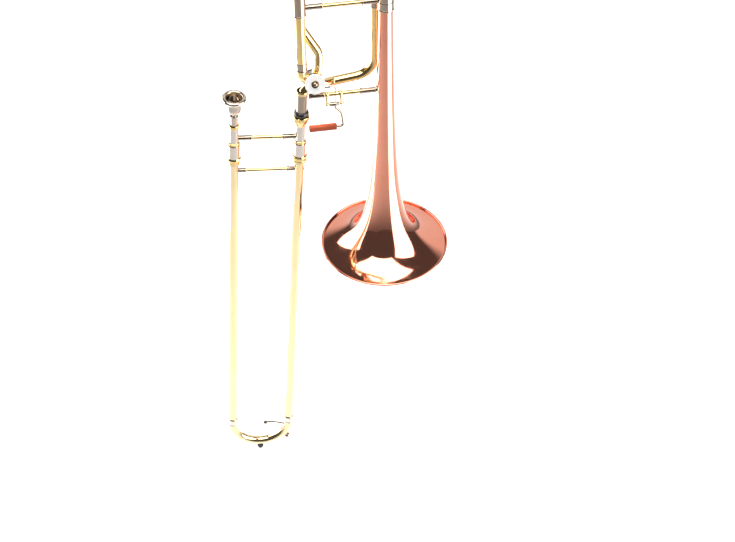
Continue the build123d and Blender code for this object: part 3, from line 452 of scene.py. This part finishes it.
def build_brace(node, body, origin, axis, rod):
    """A brace: a brass rod between nickel end sleeves, each with a small bead at its mouth."""
    low, high = reach(node, origin, axis)
    sleeve = (high - low) * SLEEVE_SHARE
    fat = rod + SLEEVE_STEP
    bead = fat + BEAD_STEP
    left = low + sleeve
    right = high - sleeve
    outline = [
        (0, low, 1),
        (fat, low, 1),
        (fat, left - BEAD_HALF, 1),
        (bead, left - BEAD_HALF, 1),
        (bead, left + BEAD_HALF, 1),
        (rod, left + BEAD_HALF, 0),
        (rod, right - BEAD_HALF, 1),
        (bead, right - BEAD_HALF, 1),
        (bead, right + BEAD_HALF, 1),
        (fat, right + BEAD_HALF, 1),
        (fat, high, 1),
        (0, high, 1),
    ]
    corners = rounded(outline, EDGE_RADIUS, EDGE_STEPS)
    smooth = [outline[0]] + corners[EDGE_STEPS + 1:-EDGE_STEPS - 1] + [outline[-1]]
    piece = lathe(f"{node}_turned", smooth, origin, axis, [yellow_brass, nickel], turns=64)
    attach(piece, body)
    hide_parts(node)


along_x = Vector((1, 0, 0))
for node, rod in (("lower_bell_brace", 3.3 * MM), ("upper_bell_brace", 3.3 * MM)):
    height = middle(node).z
    build_brace(node, "bell_section", Vector((0, 0, height)), along_x, rod)
for node, body, rod in (
    ("inner_slide_brace", "slide_section", 3.2 * MM),
    ("outer_slide_brace", "hand_slide", 2.8 * MM),
):
    offset = (middle(node) - slide_origin).dot(slide_down)
    build_brace(node, body, slide_origin + slide_down * offset, across, rod)


# ---------------------------------------------------------------- studio

FLOOR_GAP = 12 * MM
EVEN_LIGHT = 0.18                # world light on matt surfaces
DARK_STUDIO = 0.10               # what polished metal mirrors away from the wall
WALL_LIGHT = 1.0
WALL_AZIMUTH = radians(22)
WALL_RISE = radians(8)
WALL_INNER = radians(36)
WALL_OUTER = radians(46)
recorded_joints = frame["record"]["behaviour"]["joints"]
slide_travel = next(each for each in recorded_joints if each["name"] == "hand_slide_travel")["range_m"][1]
floor_height = cad_box[0][2] - slide_travel - FLOOR_GAP


def build_floor():
    """A plain pale floor, low enough for the hand slide to run right out above it."""
    finish = Finish("floor_paper")
    mottle = finish.spread(finish.noise(3, detail=4), 0.0, 1.0)
    paper = finish.mix(mottle, (0.93, 0.93, 0.93), (0.90, 0.90, 0.90))
    finish.link(paper, finish.shader.inputs["Base Color"])
    finish.shader.inputs["Roughness"].default_value = 0.9
    half = 7.0
    corners = [(-half, -half), (half, -half), (half, half), (-half, half)]
    points = [(x, y, floor_height) for x, y in corners]
    floor = finish_mesh("floor", points, [[0, 1, 2, 3]], [0], [finish.material])


def build_world():
    """A dark studio for reflections with one bright wall behind, and even white light elsewhere."""
    world = bpy.data.worlds.new("studio")
    bpy.context.scene.world = world
    world.use_nodes = True
    nodes = world.node_tree.nodes
    links = world.node_tree.links
    background = nodes["Background"]
    background.inputs["Color"].default_value = (1, 1, 1, 1)
    place = nodes.new("ShaderNodeTexCoord")
    wall_way = nodes.new("ShaderNodeVectorMath")
    wall_way.operation = "DOT_PRODUCT"
    level = cos(WALL_RISE)
    wall_way.inputs[1].default_value = (sin(WALL_AZIMUTH) * level, cos(WALL_AZIMUTH) * level, sin(WALL_RISE))
    links.new(place.outputs["Generated"], wall_way.inputs[0])
    wall = nodes.new("ShaderNodeMapRange")
    wall.interpolation_type = "SMOOTHSTEP"
    wall.inputs["From Min"].default_value = cos(WALL_OUTER)
    wall.inputs["From Max"].default_value = cos(WALL_INNER)
    wall.inputs["To Min"].default_value = DARK_STUDIO
    wall.inputs["To Max"].default_value = WALL_LIGHT
    links.new(wall_way.outputs["Value"], wall.inputs["Value"])
    ray = nodes.new("ShaderNodeLightPath")
    lit = nodes.new("ShaderNodeMix")
    lit.data_type = "FLOAT"
    lit.inputs[2].default_value = EVEN_LIGHT
    links.new(ray.outputs["Is Glossy Ray"], lit.inputs["Factor"])
    links.new(wall.outputs["Result"], lit.inputs[3])
    links.new(lit.outputs[0], background.inputs["Strength"])


def softbox(name, centre, target, width, height, power, colour=(1, 1, 1), roll=0.0, mirrored=True):
    """A rectangular soft light: one that reflections show, or one that only lights matt surfaces."""
    light = bpy.data.lights.new(name, "AREA")
    light.shape = "RECTANGLE"
    light.size = width
    light.size_y = height
    light.energy = power
    light.color = colour
    lamp = bpy.data.objects.new(name, light)
    aim = (Vector(target) - Vector(centre)).to_track_quat("-Z", "Y")
    lamp.matrix_world = Matrix.Translation(centre) @ aim.to_matrix().to_4x4() @ Matrix.Rotation(roll, 4, "Z")
    lamp.visible_camera = False
    lamp.visible_glossy = mirrored
    lamp.visible_diffuse = not mirrored
    bpy.context.scene.collection.objects.link(lamp)


def build_lights():
    """Three soft lights that the bell mirrors, and two fills that only light matt surfaces."""
    softbox("right_softbox", (0.77, -0.56, 0.30), (0, 0, 0.30), 1.0, 1.7, 25)
    softbox("left_softbox", (-0.86, 0.42, 0.05), (0, 0, 0.05), 1.0, 1.2, 17)
    above = (-0.30, -0.50, 1.95)
    below = (-0.30, -0.50, 0)
    softbox("overhead_softbox", above, below, 1.9, 1.9, 60, (1.0, 0.97, 0.92), radians(-12))
    softbox("floor_fill", (-0.10, 0.75, 1.60), (-0.10, 0.75, 0), 1.5, 1.5, 165, mirrored=False)
    softbox("front_fill", (-0.33, -1.60, 1.30), (-0.11, 0, 0.33), 0.6, 0.6, 19, mirrored=False)


CAMERA_PLACE = (-0.33077, -1.90833, 1.88206)
CAMERA_YAW = -0.1567
CAMERA_PITCH = 0.7899
CAMERA_ROLL = -0.0047
LENS = 77.23
SENSOR_WIDTH = 36.0


def build_camera():
    """The camera, looking down at the instrument from the front."""
    camera = bpy.data.cameras.new("camera")
    camera.lens = LENS
    camera.sensor_width = SENSOR_WIDTH
    camera.clip_end = 50
    stand = bpy.data.objects.new("camera", camera)
    turn = Matrix.Rotation(CAMERA_YAW, 4, "Z")
    tilt = Matrix.Rotation(pi / 2 - CAMERA_PITCH, 4, "X")
    roll = Matrix.Rotation(CAMERA_ROLL, 4, "Z")
    stand.matrix_world = Matrix.Translation(CAMERA_PLACE) @ turn @ tilt @ roll
    bpy.context.scene.collection.objects.link(stand)
    bpy.context.scene.camera = stand


build_floor()
build_world()
build_lights()
build_camera()
bpy.context.scene.view_settings.view_transform = "Standard"
